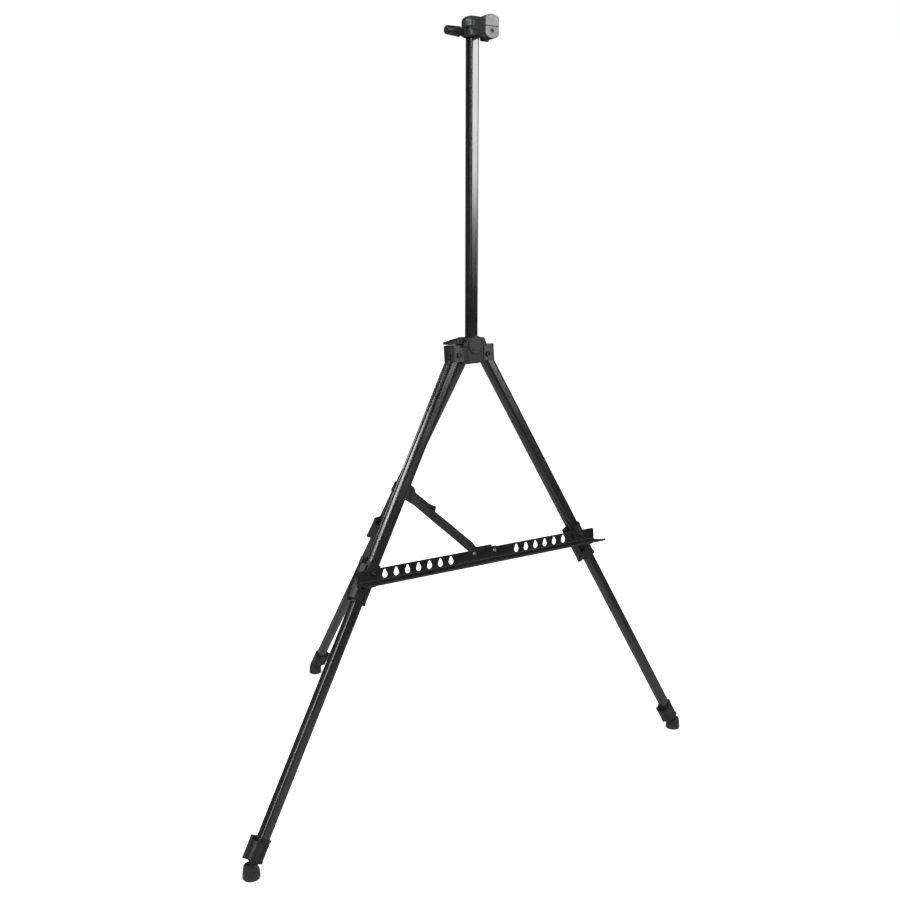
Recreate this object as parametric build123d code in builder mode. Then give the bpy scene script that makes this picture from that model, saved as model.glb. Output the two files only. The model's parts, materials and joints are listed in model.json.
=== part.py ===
from build123d import *
from dataclasses import dataclass
from math import sin, cos, tan, radians, hypot
import os

# A folding tripod easel: two front legs and a rear leg, each of three telescoping tubes with
# snap locks, a hub, a square mast with a clamp head, a tray rail and a strap.
# Millimetres and degrees. The origin is on the floor in the middle of the footprint, +Z is up,
# the work faces -Y (front), and left is -X.
# A tube or bar section is (width, depth, corner radius), or (width, depth) where it is square.

# ---------------------------------------------------------------- driving dimensions
FRONT_Y = -243.07          # y of the two front leg pivots
PIVOT_Z = 709.8            # height of the front leg pivots
PIVOT_X = 27.6             # half the distance between the front leg pivots
LEAN = 5.457               # the plane of the front legs leans back by this angle
SPLAY = 29.5               # each front leg opens this far in that plane
REAR_TILT = 37.63          # rear leg, from vertical
REAR_PIVOT_Y = 22.0        # behind the front pivots
REAR_PIVOT_Z = 702.3
PIN_R, PIN_BORE_R = 3.0, 3.05       # leg pivot pins

# leg tubes: section, wall, (radius, depth) of the side grooves
UPPER, UPPER_WALL, UPPER_GROOVE = (20.5, 18.0, 7.0), 0.9, (3.5, 0.5)
MIDDLE, MIDDLE_WALL, MIDDLE_GROOVE = (18.2, 15.8, 6.0), 1.0, (2.2, 0.45)
LOWER, LOWER_WALL, LOWER_GROOVE = (14.4, 12.4, 5.0), 1.0, (1.8, 0.4)
UPPER_W, UPPER_D, _ = UPPER
HEAD_TOP = -10.0           # tube end above the pivot, along the leg
HEAD_PLUG = 22.0           # length of the plug in it
PLUG_GAP = 0.05            # between a plug and its tube

# mast
MAST_W, MAST_R, MAST_WALL = 15.9, 3.3, 1.2
MAST = (MAST_W, MAST_W, MAST_R)
MAST_Y = FRONT_Y - 5.0
MAST_CENTRE = (0, MAST_Y)
MAST_Z0, MAST_Z1 = 704.0, 1206.0

# tray rail, measured down the leaning plane from the pivots and forward of the leg plane
TRAY_FOLD, TRAY_TOP = 327.5, 306.7  # fold and top edge of the plate
TRAY_BACK, TRAY_FRONT = 11.6, 13.2  # faces of the sheet

# ---------------------------------------------------------------- directions and planes
back = Vector(0, cos(radians(LEAN)), -sin(radians(LEAN)))        # normal of the front leg plane
down = Vector(0, -sin(radians(LEAN)), -cos(radians(LEAN)))       # straight down in that plane

# front planes through the middle of the front pivots: x to the right, y up, normal to the front
leaning = Plane(origin=(0, FRONT_Y, PIVOT_Z), x_dir=(1, 0, 0), z_dir=back * -1)
upright = Plane(origin=(0, FRONT_Y, PIVOT_Z), x_dir=(1, 0, 0), z_dir=(0, -1, 0))


def tray_side(x):
    """Side plane of the tray rail: local x forward, local y down the leaning plane."""
    return Plane(origin=(x, FRONT_Y, PIVOT_Z), x_dir=leaning.z_dir, z_dir=(1, 0, 0))


# ---------------------------------------------------------------- shared helpers
# A sketch made in a function does not join the caller's part, so it is handed to extrude.
def rod(plane, start, length, radius, *centres, taper=0.0, mode=Mode.ADD):
    """Add or cut round rods along the plane's normal, from start to start + length."""
    with BuildSketch(plane.offset(start)) as section:
        with Locations(*(centres or [(0, 0)])):
            Circle(radius)
    extrude(section.sketch, amount=length, taper=taper, mode=mode)


def bar(plane, start, length, size, *centres, mode=Mode.ADD):
    """Add or cut bars of the given section along the plane's normal."""
    with BuildSketch(plane.offset(start)) as section:
        with Locations(*(centres or [(0, 0)])):
            if len(size) == 3:
                RectangleRounded(*size)
            else:
                Rectangle(*size)
    extrude(section.sketch, amount=length, mode=mode)


def grow(section, gap):
    """The section with its outline moved out by gap, or in when gap is negative."""
    width, depth, corner = section
    return width + 2 * gap, depth + 2 * gap, corner + gap


def save(part, name):
    part.label = name
    export_step(part, f"parts/{name}.step")


# ---------------------------------------------------------------- leg layout
ANKLE_H = 14.0             # ankle axis above the floor
NECK = 10.6                # lower lock's end to the ankle axis


@dataclass
class Leg:
    """A leg; stations are distances down its axis from the pivot."""
    pivot: Vector
    along: Vector          # down the leg
    rearward: Vector       # local y of the section
    inner: Vector          # level, towards the middle of the easel
    hinge_axis: Vector     # axis of the pivot and of the ankle
    tilt: float            # angle of the leg as seen along the hinge axis
    collar_start: float    # upper collar
    collar_end: float
    lever_start: float     # upper lever
    wrap_start: float      # where the lever's front lip begins
    lower_lock_length: float
    middle_length: float
    lower_length: float
    shelf_side: int = 0    # side of the tray shelf, 0 for none
    lower_turned: bool = False      # lower lock turned half round the tube

    def __post_init__(self):
        # section plane: local x towards the upper lock's hinge, local z down the leg
        x_dir = self.rearward.cross(self.along)
        self.frame = Plane(origin=self.pivot, x_dir=x_dir, z_dir=self.along)
        lower_x = -self.frame.x_dir if self.lower_turned else self.frame.x_dir
        self.lower_frame = Plane(origin=self.pivot, x_dir=lower_x, z_dir=self.along)
        self.ankle = (self.pivot.Z - ANKLE_H) / -self.along.Z
        self.lower_end = self.ankle - NECK
        self.lower_start = self.lower_end - self.lower_lock_length
        # planes square to the pivot and to the ankle axis: x inwards, y up
        self.ankle_point = self.frame.from_local_coords(Vector(0, 0, self.ankle))
        self.pivot_plane = Plane(origin=self.pivot, x_dir=self.inner, z_dir=self.hinge_axis)
        self.ankle_plane = Plane(origin=self.ankle_point, x_dir=self.inner, z_dir=self.hinge_axis)


def front_leg(side):
    """Front leg, side -1 for left and 1 for right."""
    return Leg(
        pivot=Vector(side * PIVOT_X, FRONT_Y, PIVOT_Z),
        along=down * cos(radians(SPLAY)) + Vector(side, 0, 0) * sin(radians(SPLAY)),
        rearward=back, inner=Vector(-side, 0, 0), hinge_axis=back * side, tilt=SPLAY,
        collar_start=345.0, collar_end=408.5, lever_start=351.0, wrap_start=388.0,
        lower_lock_length=32.8, middle_length=435.0, lower_length=385.0, shelf_side=side)


rear_leg = Leg(
    pivot=Vector(0, FRONT_Y + REAR_PIVOT_Y, REAR_PIVOT_Z),
    along=Vector(0, sin(radians(REAR_TILT)), -cos(radians(REAR_TILT))),
    rearward=Vector(0, cos(radians(REAR_TILT)), sin(radians(REAR_TILT))),
    inner=Vector(0, -1, 0), hinge_axis=Vector(-1, 0, 0), tilt=REAR_TILT,
    collar_start=395.5, collar_end=440.0, lever_start=399.0, wrap_start=399.0,
    lower_lock_length=37.0, middle_length=470.0, lower_length=400.0, lower_turned=True)


# ---------------------------------------------------------------- leg tubes
def tube(frame, start, end, section, wall, groove, bore_plane=None):
    """Roll-formed tube with a long groove down each side face."""
    width, depth, _ = section
    groove_radius, groove_depth = groove
    groove_x = width / 2 - groove_depth + groove_radius
    with BuildPart() as piece:
        with BuildSketch(frame.offset(start)):
            RectangleRounded(*section)
            with Locations((groove_x, 0), (-groove_x, 0)):
                Circle(groove_radius, mode=Mode.SUBTRACT)
            RectangleRounded(*grow(section, -wall), mode=Mode.SUBTRACT)
        extrude(amount=end - start)
        if bore_plane is not None:
            rod(bore_plane, -2 * depth, 4 * depth, PIN_R + 0.4, mode=Mode.SUBTRACT)
    return piece.part


def head_plug(leg):
    """Plug in the top of the upper tube that carries the pivot bore."""
    with BuildPart() as piece:
        bar(leg.frame, HEAD_TOP, HEAD_PLUG, grow(UPPER, -UPPER_WALL - PLUG_GAP))
        rod(leg.pivot_plane, -2 * UPPER_D, 4 * UPPER_D, PIN_BORE_R, mode=Mode.SUBTRACT)
    return piece.part


# ---------------------------------------------------------------- leg locks
@dataclass
class Lock:
    """Moulded sleeve on the end of a tube, with lugs for the hinge pin beside it."""
    outer_tube: tuple      # section of the tube it sits on
    inner_tube: tuple      # section of the tube that slides through
    sleeve: tuple
    sleeve_at: tuple
    rim: tuple             # raised rim at both ends
    rim_at: tuple
    rim_length: float
    pin_at: tuple
    pin_radius: float
    knuckle_radius: float  # lever's knuckle round the pin
    lug_radius: float
    lug_root: float        # local x where the lugs start
    step: float            # from the outer tube's seat to the sleeve's end
    overrun: float         # how far the cuts run past the sleeve


UPPER_LOCK = Lock(
    outer_tube=UPPER, inner_tube=MIDDLE, sleeve=(24.8, 21.4, 8.6), sleeve_at=(0, 0.4),
    rim=(26.2, 22.2, 9.0), rim_at=(-0.6, 1.0), rim_length=3.0, pin_at=(16.0, 4.0),
    pin_radius=1.65, knuckle_radius=3.5, lug_radius=3.9, lug_root=8.0, step=4.3, overrun=12.0)
LOWER_LOCK = Lock(
    outer_tube=MIDDLE, inner_tube=LOWER, sleeve=(22.4, 19.8, 7.9), sleeve_at=(0, 0),
    rim=(23.2, 20.6, 8.2), rim_at=(-0.8, 0.7), rim_length=2.4, pin_at=(14.3, 4.6),
    pin_radius=1.5, knuckle_radius=3.1, lug_radius=3.4, lug_root=6.0, step=2.3, overrun=5.0)

# small shelf under the tray rail
SHELF_W, SHELF_BACK, SHELF_LENGTH = 18.0, 6.0, 13.5
SHELF_TOP, SHELF_BOTTOM = TRAY_FOLD + 0.4, 332.2    # down the leaning plane
SHELF_X = PIVOT_X + 330.0 * tan(radians(SPLAY))

# lever outlines in the lock's section: (x to the hinge side, y to the lugs' side)
UPPER_BLADE = (
    (13.0, 3.2), (13.0, -4.0), (12.9, -7.6), (14.6, -10.1), (17.4, -7.6), (19.5, -3.0),
    (19.5, 4.0), (16.0, 6.0), (13.0, 3.2))
UPPER_WRAP = (
    (13.0, 3.2), (13.0, -5.6), (11.6, -9.0), (8.2, -10.9), (3.0, -10.9), (2.6, -12.4),
    (3.4, -13.4), (9.0, -13.4), (14.2, -11.9), (17.6, -8.4), (19.5, -3.6), (19.5, 4.0),
    (16.0, 6.0), (13.0, 3.2))
LOWER_WRAP = (
    (11.7, 3.4), (11.7, -4.6), (10.2, -8.3), (6.6, -10.2), (1.4, -10.2), (1.0, -11.4),
    (1.8, -12.3), (7.6, -12.3), (12.4, -10.9), (15.6, -7.9), (17.4, -3.4), (17.4, 4.6),
    (14.3, 6.4), (11.7, 3.4))


def collar(lock, frame, start, end, lugs, shelf_side=0):
    """Sleeve of a lock; lugs are (start, end) stations."""
    pin_x, pin_y = lock.pin_at
    cut_start = start - lock.overrun
    seat_end = end - lock.step
    with BuildPart() as piece:
        bar(frame, start, end - start, lock.sleeve, lock.sleeve_at)
        for rim_start in (start, end - lock.rim_length):
            bar(frame, rim_start, lock.rim_length, lock.rim, lock.rim_at)
        for lug_start, lug_end in lugs:
            with BuildSketch(frame.offset(lug_start)):
                with Locations(lock.pin_at):
                    Circle(lock.lug_radius)
                with Locations(((lock.lug_root + pin_x) / 2, pin_y)):
                    Rectangle(pin_x - lock.lug_root, 2 * lock.lug_radius)
            extrude(amount=lug_end - lug_start)
        if shelf_side:
            # level with the rail, so it slants across the leg
            bar(leaning, SHELF_BACK, SHELF_LENGTH, (SHELF_W, SHELF_BOTTOM - SHELF_TOP),
                (shelf_side * SHELF_X, -(SHELF_TOP + SHELF_BOTTOM) / 2))
        bar(frame, cut_start, seat_end - cut_start, grow(lock.outer_tube, 0.05),
            mode=Mode.SUBTRACT)
        bar(frame, seat_end - 1.0, 10.0, grow(lock.inner_tube, 0.1), mode=Mode.SUBTRACT)
        rod(frame, cut_start, end - start + 2 * lock.overrun, lock.pin_radius + 0.02,
            lock.pin_at, mode=Mode.SUBTRACT)
    return piece.part


def upper_collar(leg):
    start, end = leg.collar_start, leg.collar_end
    lugs = ((start - 4.0, leg.lever_start - 0.4), (end - 5.1, end))
    return collar(UPPER_LOCK, leg.frame, start, end, lugs, leg.shelf_side)


def lower_collar(leg):
    start, end = leg.lower_start, leg.lower_end
    lugs = ((start, start + 3.6), (end - 2.8, end))
    return collar(LOWER_LOCK, leg.lower_frame, start, end, lugs)


def lock_pin(lock, frame, start, end):
    with BuildPart() as piece:
        rod(frame, start, end - start, lock.pin_radius, lock.pin_at)
    return piece.part


def lever_bore(lock, frame, start, end):
    """Cut the pin bore through the lever that is being built."""
    rod(frame, start - 1.0, end - start + 2.0, lock.pin_radius + 0.1, lock.pin_at,
        mode=Mode.SUBTRACT)


def upper_lever(leg):
    """Snap lever: a thick blade beside the sleeve, then a lip round the sleeve's front."""
    lock, frame = UPPER_LOCK, leg.frame
    start, end = leg.lever_start, leg.collar_end - 5.5
    with BuildPart() as piece:
        if leg.wrap_start > start:
            with BuildSketch(frame.offset(start)):
                with BuildLine():
                    Polyline(*UPPER_BLADE)
                make_face()
            extrude(amount=leg.wrap_start - start)
        with BuildSketch(frame.offset(leg.wrap_start)):
            with BuildLine():
                Polyline(*UPPER_WRAP)
            make_face()
        extrude(amount=end - leg.wrap_start)
        rod(frame, start, end - start, lock.knuckle_radius, lock.pin_at)
        lever_bore(lock, frame, start, end)
    return piece.part


def lower_lever(leg):
    """Snap lever with the lip along its whole length."""
    lock, frame = LOWER_LOCK, leg.lower_frame
    start, end = leg.lower_start + 4.0, leg.lower_end - 3.2
    with BuildPart() as piece:
        with BuildSketch(frame.offset(start)):
            with BuildLine():
                Polyline(*LOWER_WRAP)
            make_face()
            with Locations(lock.pin_at):
                Circle(lock.knuckle_radius)
        extrude(amount=end - start)
        lever_bore(lock, frame, start, end)
    return piece.part


# ---------------------------------------------------------------- feet
PAD_TOP = ANKLE_H + 6.5    # above the floor
PAD_R_TOP, PAD_R_BOTTOM = 10.9, 12.6
TONGUE_T, TONGUE_R = 6.4, 4.9
TONGUE_LENGTH = 8.4        # up the leg from the ankle axis
SHOULDER_R, SHOULDER_END = 7.4, 7.9     # SHOULDER_END is above the ankle axis
STUB_START = 24.0          # stub's top above the ankle axis
SLOT_R = 5.4               # half the width of the tongue's slot
FOOT_PIN_R, FOOT_PIN_LENGTH = 1.5, 21.2


def ankle_plug(leg):
    """End of the lower tube: stub, round shoulder and the flat tongue the foot swivels on."""
    tilt = radians(leg.tilt)
    side_x, side_y = TONGUE_R * cos(tilt), TONGUE_R * sin(tilt)
    up_x, up_y = TONGUE_LENGTH * sin(tilt), TONGUE_LENGTH * cos(tilt)
    with BuildPart() as piece:
        bar(leg.frame, leg.ankle - STUB_START, STUB_START - NECK,
            grow(LOWER, -LOWER_WALL - PLUG_GAP))
        rod(leg.frame, leg.ankle - NECK + 0.1, NECK - 0.1 - SHOULDER_END, SHOULDER_R)
        with BuildSketch(leg.ankle_plane.offset(-TONGUE_T / 2)):
            with BuildLine():
                Polyline((-side_x, side_y), (-side_x + up_x, side_y + up_y),
                         (side_x + up_x, -side_y + up_y), (side_x, -side_y), (-side_x, side_y))
            make_face()
            Circle(TONGUE_R)
        extrude(amount=TONGUE_T)
        rod(leg.ankle_plane, -10, 20, FOOT_PIN_R + 0.1, mode=Mode.SUBTRACT)
    return piece.part


def foot_pad(leg):
    """Bell-shaped pad with a slot for the tongue, its sole flat on the floor."""
    centre = leg.ankle_point
    tilt = radians(leg.tilt)
    shoulder = (PAD_R_TOP - 0.3, PAD_TOP - 1.2)
    rim_x = PAD_R_TOP - 1.6
    sole_x = PAD_R_BOTTOM - 2.4
    side_low = (PAD_R_BOTTOM, 2.6)
    with BuildPart() as piece:
        with BuildSketch(Plane(origin=(centre.X, centre.Y, 0), x_dir=(1, 0, 0), z_dir=(0, -1, 0))):
            with BuildLine():
                Polyline((0, PAD_TOP), (0, 0), (sole_x, 0))
                RadiusArc((sole_x, 0), side_low, -2.5)
                Spline(side_low, (PAD_R_BOTTOM - 0.35, 10.0), (PAD_R_TOP + 0.45, 16.0), shoulder)
                RadiusArc(shoulder, (rim_x, PAD_TOP), -1.3)
                Line((rim_x, PAD_TOP), (0, PAD_TOP))
            make_face()
        revolve(axis=Axis((centre.X, centre.Y, 0), (0, 0, 1)))
        # slot, open from upright round to the leg's own slant
        with BuildSketch(leg.ankle_plane.offset(-TONGUE_T / 2 - 0.2)):
            with BuildLine():
                Polyline((-SLOT_R, 0), (-SLOT_R, 32), (SLOT_R * cos(tilt) + 40 * sin(tilt), 32),
                         (SLOT_R * cos(tilt), -SLOT_R * sin(tilt)), (-SLOT_R, 0))
            make_face()
            Circle(SLOT_R)
        extrude(amount=TONGUE_T + 0.4, mode=Mode.SUBTRACT)
        rod(leg.ankle_plane, -20, 40, FOOT_PIN_R + 0.02, mode=Mode.SUBTRACT)
        # trim the top square to the leg, 6 mm up from the ankle axis
        bar(leg.frame, leg.ankle - 46.0, 40.0, (70, 70), mode=Mode.SUBTRACT)
    return piece.part


def foot_pin(leg):
    with BuildPart() as piece:
        rod(leg.ankle_plane, -FOOT_PIN_LENGTH / 2, FOOT_PIN_LENGTH, FOOT_PIN_R)
    return piece.part


def leg_parts(leg):
    """Every piece of one leg, by name."""
    frame = leg.frame
    middle_end = leg.lower_end - 2.5
    lower_end = leg.lower_end - 0.1
    return {
        "upper_tube": tube(frame, HEAD_TOP, leg.collar_end - 4.5, UPPER, UPPER_WALL,
                           UPPER_GROOVE, bore_plane=leg.pivot_plane),
        "head_plug": head_plug(leg),
        "upper_collar": upper_collar(leg),
        "upper_lock_pin": lock_pin(UPPER_LOCK, frame, leg.collar_start - 4.5,
                                   leg.collar_end + 0.5),
        "upper_lever": upper_lever(leg),
        "middle_tube": tube(frame, middle_end - leg.middle_length, middle_end,
                            MIDDLE, MIDDLE_WALL, MIDDLE_GROOVE),
        "lower_collar": lower_collar(leg),
        "lower_lock_pin": lock_pin(LOWER_LOCK, leg.lower_frame, leg.lower_start - 0.4,
                                   leg.lower_end + 0.3),
        "lower_lever": lower_lever(leg),
        "lower_tube": tube(frame, lower_end - leg.lower_length, lower_end,
                           LOWER, LOWER_WALL, LOWER_GROOVE),
        "ankle_plug": ankle_plug(leg),
        "foot_pad": foot_pad(leg),
        "foot_pin": foot_pin(leg),
    }


# ---------------------------------------------------------------- hub
LOBE_D = 12.0                      # half the lobes' depth
HUB_HALF = 21.0                    # half the middle block's width
HUB_BACK, HUB_FRONT = 7.0, 17.0    # faces of the block and the collar, from the front pivots
EAR_INNER, EAR_T, EAR_R = 10.6, 3.6, 9.6
LEG_GAP = 0.3                      # between a leg's head and the hub
LEG_ROOM = UPPER_W / 2 + LEG_GAP
HEAD_ROOM_R = 14.6
SOCKET = (16.1, 16.1, MAST_R)      # mast socket
FRONT_PIVOTS = ((-PIVOT_X, 0), (PIVOT_X, 0))
REAR_PIVOT = (REAR_PIVOT_Y, 0)     # in hub_side
MAST_LOCK = (-18.2, 22.3)          # mast lock pin, in the upright plane
MAST_LOCK_PIN_R = 1.5
CAP_AT = (0, 16.7)

# side plane of the hub: x to the back, y up, normal to the right
hub_side = Plane(origin=(0, FRONT_Y, REAR_PIVOT_Z), x_dir=(0, 1, 0), z_dir=(1, 0, 0))


def hub_lobes():
    """Two fork lobes for the front legs, rounded off in plan at the outer ends."""
    with BuildPart() as piece:
        bar(leaning, -LOBE_D, 2 * LOBE_D, (30.6, 26.4, 5.0), (-28.2, 2.9), (28.2, 2.9))
        with BuildSketch(Plane(origin=(0, FRONT_Y, PIVOT_Z), x_dir=(1, 0, 0), z_dir=down * -1)):
            RectangleRounded(87.0, 2 * LOBE_D, 8.0)
        extrude(amount=40.0, both=True, mode=Mode.INTERSECT)
    return piece.part


def hub_block():
    """Upright middle block: rounded belly, front corners chamfered in plan."""
    belly_y, top_y = -6.6, 15.0
    rear, front = FRONT_Y + HUB_BACK, FRONT_Y - HUB_FRONT
    chamfer_x, chamfer_y = 14.6, FRONT_Y - 11.0
    with BuildPart() as piece:
        with BuildSketch(upright.offset(-HUB_BACK)):
            with BuildLine():
                Line((-HUB_HALF, top_y), (-HUB_HALF, belly_y))
                ThreePointArc((-HUB_HALF, belly_y), (0, -12.4), (HUB_HALF, belly_y))
                Line((HUB_HALF, belly_y), (HUB_HALF, top_y))
                Line((HUB_HALF, top_y), (-HUB_HALF, top_y))
            make_face()
        extrude(amount=HUB_BACK + HUB_FRONT)
        with BuildSketch(Plane.XY.offset(PIVOT_Z - 20)):
            with BuildLine():
                Polyline((-HUB_HALF, rear), (-HUB_HALF, chamfer_y), (-chamfer_x, front),
                         (chamfer_x, front), (HUB_HALF, chamfer_y), (HUB_HALF, rear),
                         (-HUB_HALF, rear))
            make_face()
        extrude(amount=40.0, mode=Mode.INTERSECT)
        uprights = piece.edges().filter_by(Axis.Z)
        fillet(uprights.filter_by(lambda e: e.center().Y < FRONT_Y - 10.0), 2.5)
    return piece.part


def hub_collar():
    """Collar round the mast, on top of the block."""
    with BuildPart() as piece:
        with BuildSketch(upright.offset(-HUB_BACK)):
            with BuildLine():
                Polyline((-22.6, 14.5), (22.6, 14.5), (21.8, 17.2), (17.6, 27.0), (16.0, 27.7),
                         (-16.0, 27.7), (-17.6, 27.0), (-21.8, 17.2), (-22.6, 14.5))
            make_face()
        extrude(amount=HUB_BACK + HUB_FRONT)
        front_edges = piece.faces().sort_by(Axis.Y)[0].edges()
        fillet(front_edges.filter_by(lambda e: e.center().Z > PIVOT_Z + 15.0), 1.2)
    return piece.part


def hub_housing():
    bodies = [hub_lobes(), hub_block(), hub_collar()]
    splay = radians(SPLAY)
    # outer side of an open leg: at the pivot, and 45 mm down the leg
    outer_x, outer_y = PIVOT_X + LEG_ROOM * cos(splay), LEG_ROOM * sin(splay)
    end_x, end_y = outer_x + 45 * sin(splay), outer_y - 45 * cos(splay)
    inner_x = PIVOT_X - LEG_ROOM
    with BuildPart() as piece:
        for body in bodies:
            add(body)
        # two ears for the rear leg
        for x in (-EAR_INNER - EAR_T, EAR_INNER):
            with BuildSketch(hub_side.offset(x)):
                with BuildLine():
                    Polyline((4.0, -7.0), (REAR_PIVOT_Y, -9.4), (REAR_PIVOT_Y + 8, 0),
                             (REAR_PIVOT_Y, 9.4), (4.0, 20.0), (4.0, -7.0))
                make_face()
                with Locations(REAR_PIVOT):
                    Circle(EAR_R)
            extrude(amount=EAR_T)
        # room for the tops of the front legs, from folded to open
        for side in (-1, 1):
            with BuildSketch(leaning.offset(-UPPER_D / 2 - LEG_GAP)):
                with Locations((side * PIVOT_X, 0)):
                    Circle(HEAD_ROOM_R)
                with BuildLine():
                    Polyline((side * inner_x, 0), (side * inner_x, -40), (side * 62, -40),
                             (side * end_x, end_y), (side * outer_x, outer_y),
                             (side * inner_x, 0))
                make_face()
            extrude(amount=UPPER_D + 2 * LEG_GAP, mode=Mode.SUBTRACT)
        rod(leaning, -30, 60, PIN_BORE_R, *FRONT_PIVOTS, mode=Mode.SUBTRACT)
        rod(hub_side, -30, 60, PIN_BORE_R, REAR_PIVOT, mode=Mode.SUBTRACT)
        # mast socket, right through
        bar(Plane.XY, PIVOT_Z - 40, 100, SOCKET, MAST_CENTRE, mode=Mode.SUBTRACT)
        # pocket for the mast lock lever, and its pin bore
        bar(upright, -2.9, 15.8, (19.8, 20.0), (-23.1, 26.3), mode=Mode.SUBTRACT)
        rod(upright, -30, 60, MAST_LOCK_PIN_R + 0.02, MAST_LOCK, mode=Mode.SUBTRACT)
    return piece.part


def hub_cap():
    """Round cap on the hub's front, with a ring groove."""
    with BuildPart() as piece:
        rod(upright, HUB_FRONT + 0.05, 1.9, 13.8, CAP_AT)
        fillet(piece.faces().sort_by(Axis.Y)[0].edges(), 0.8)
        with BuildSketch(upright.offset(18.5)):
            with Locations(CAP_AT):
                Circle(11.2)
                Circle(10.2, mode=Mode.SUBTRACT)
        extrude(amount=2.0, mode=Mode.SUBTRACT)
    return piece.part


def hub_pivot_screws():
    """Front pivot screws, with hexagon sockets in front and nuts behind."""
    with BuildPart() as piece:
        for pivot in FRONT_PIVOTS:
            rod(leaning, -14.5, 27.0, PIN_R, pivot)
            rod(leaning, 12.1, 2.0, 4.1, pivot)
            with BuildSketch(leaning.offset(13.0)):
                with Locations(pivot):
                    RegularPolygon(2.1, 6)
            extrude(amount=3.0, mode=Mode.SUBTRACT)
            with BuildSketch(leaning.offset(-15.6)):
                with Locations(pivot):
                    RegularPolygon(4.6, 6)
            extrude(amount=3.5)
    return piece.part


def hub_rear_pin():
    """Rear pivot pin with a head at each end."""
    with BuildPart() as piece:
        rod(hub_side, -16.0, 32.0, PIN_R, REAR_PIVOT)
        for head_start in (-16.9, 14.3):
            rod(hub_side, head_start, 2.6, 4.4, REAR_PIVOT)
    return piece.part


def mast_lock_pin():
    with BuildPart() as piece:
        rod(upright, -7.6, 25.2, MAST_LOCK_PIN_R, MAST_LOCK)
    return piece.part


def mast_lock_lever():
    """Lever that reaches out to the left from its pin."""
    with BuildPart() as piece:
        with BuildSketch(upright.offset(-2.6)):
            with BuildLine():
                Line((-20.0, 18.3), (-46.2, 17.4))
                ThreePointArc((-46.2, 17.4), (-48.4, 19.1), (-46.5, 21.2))
                Spline((-46.5, 21.2), (-36.0, 23.9), (-26.0, 26.0), (-17.9, 26.5))
                Line((-17.9, 26.5), (-20.0, 18.3))
            make_face()
            with Locations(MAST_LOCK):
                Circle(4.2)
        extrude(amount=15.2)
        rod(upright, -5, 20, MAST_LOCK_PIN_R + 0.1, MAST_LOCK, mode=Mode.SUBTRACT)
    return piece.part


# ---------------------------------------------------------------- mast
MAST_PLUG = 10.0           # length of each end plug


def mast_tube():
    with BuildPart() as piece:
        with BuildSketch(Plane.XY.offset(MAST_Z0)):
            with Locations(MAST_CENTRE):
                RectangleRounded(*MAST)
                RectangleRounded(*grow(MAST, -MAST_WALL), mode=Mode.SUBTRACT)
        extrude(amount=MAST_Z1 - MAST_Z0)
    return piece.part


def mast_end_plugs():
    with BuildPart() as piece:
        for z in (MAST_Z0, MAST_Z1 - MAST_PLUG):
            bar(Plane.XY, z, MAST_PLUG, grow(MAST, -MAST_WALL - PLUG_GAP), MAST_CENTRE)
    return piece.part


# ---------------------------------------------------------------- clamp head on the mast
CLAMP_TOP, CAP_H = 1209.5, 17.0
SLEEVE_BOTTOM = 1181.0
SEAM_Z = 1188.5            # split line of the front block
BLOCK_HALF = 12.5          # half the front block's width
JAW_SCREW_Z = 1182.2
JAW_SCREW_BORE_R = 1.62
RETAINER_W, RETAINER_T = 15.5, 1.5
RETAINER_Y = FRONT_Y - 35.0         # middle of the retaining tab
KNOB_Z = 1186.5
STUD_R = 3.0
# knob stations, out to the left of the mast centre
BOSS_START, NECK_START, FLARE_START, GRIP_START = 11.0, 17.8, 21.2, 24.0
KNOB_NECK_R, GRIP_R = 4.6, 7.4

# back face of the front block: x to the right, y up from the seam, normal to the front
block_back = Plane(origin=(0, FRONT_Y - 41.0, SEAM_Z), x_dir=(1, 0, 0), z_dir=(0, -1, 0))
# jaw screw axis, pointing to the back from in front of the block
screw_axis = Plane(origin=(0, FRONT_Y - 60.0, JAW_SCREW_Z), x_dir=(1, 0, 0), z_dir=(0, 1, 0))
# knob axis, pointing left from the mast centre
knob_axis = Plane(origin=(0, MAST_Y, KNOB_Z), x_dir=(0, 1, 0), z_dir=(-1, 0, 0))


def clamp_cap():
    """Domed cap over the mast's end."""
    with BuildPart() as piece:
        bar(Plane.XY, CLAMP_TOP - CAP_H, CAP_H, (33.4, 30.0, 12.5), (0, MAST_Y - 2.0))
        fillet(piece.faces().sort_by(Axis.Z)[-1].edges(), 8.0)
        fillet(piece.faces().sort_by(Axis.Z)[0].edges(), 2.6)
    return piece.part


def clamp_sleeve():
    """Sleeve round the mast."""
    with BuildPart() as piece:
        bar(Plane.XY, SLEEVE_BOTTOM, 20.0, (24.0, 26.0, 6.0), (0, MAST_Y - 1.5))
        fillet(piece.faces().sort_by(Axis.Z)[0].edges(), 1.2)
    return piece.part


def clamp_arm():
    """Arm that reaches forward to the block, a little narrower in the middle."""
    rear, waist, front = MAST_Y - 8.0, MAST_Y - 20.0, FRONT_Y - 42.0
    with BuildPart() as piece:
        with BuildSketch(Plane.XY.offset(SEAM_Z - 8.5)):
            with BuildLine():
                Polyline((-10.5, rear), (-9.0, waist), (-11.5, front), (11.5, front),
                         (9.0, waist), (10.5, rear), (-10.5, rear))
            make_face()
        extrude(amount=22.5)
        top_edges = piece.faces().sort_by(Axis.Z)[-1].edges()
        fillet(top_edges.filter_by(lambda e: abs(e.center().X) > 5.0), 3.0)
    return piece.part


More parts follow.
